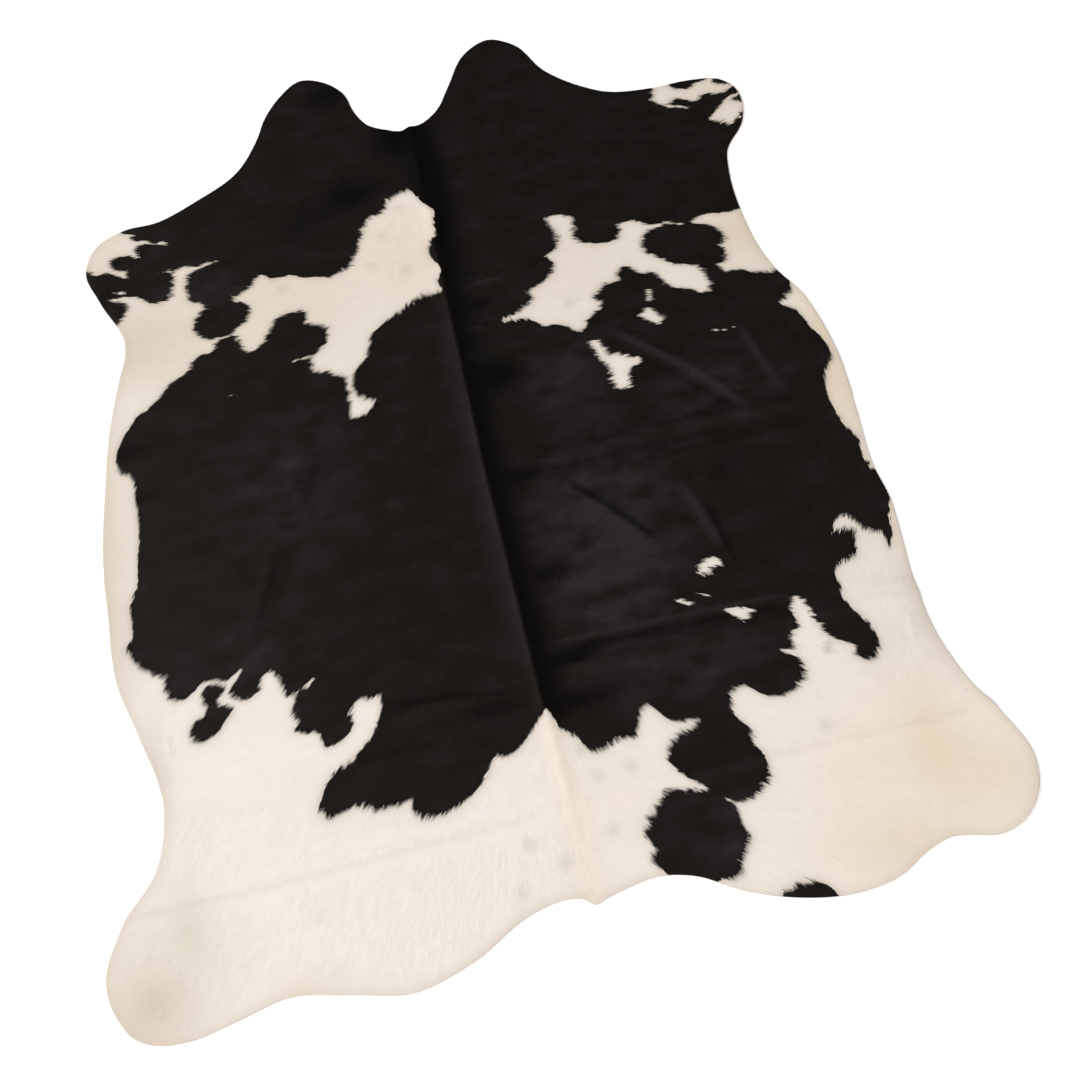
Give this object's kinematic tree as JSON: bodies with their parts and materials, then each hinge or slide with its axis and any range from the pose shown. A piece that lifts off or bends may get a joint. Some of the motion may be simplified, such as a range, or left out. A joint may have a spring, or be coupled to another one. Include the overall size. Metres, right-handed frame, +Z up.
{
  "type": "cowhide rug",
  "caption": "Whole natural-shape cowhide rug with its hair on, lying flat on the floor with low packing folds along the spine and across it.",
  "frame": {"origin": "on the floor, under the middle of the hide's outline", "axes": "+Y along the spine towards the neck, +X towards the right flank seen from above, +Z up out of the coat"},
  "size_m": [1.9, 2.326, 0.0085],
  "materials": {
    "coat": "hair-on leather, short black and creamy white coat with a low sheen",
    "black_hair": "short straight black cattle hair, low sheen",
    "white_hair": "short straight creamy white cattle hair, low sheen"
  },
  "bodies": {
    "root": {"hide": "coat"}
  },
  "joints": []
}
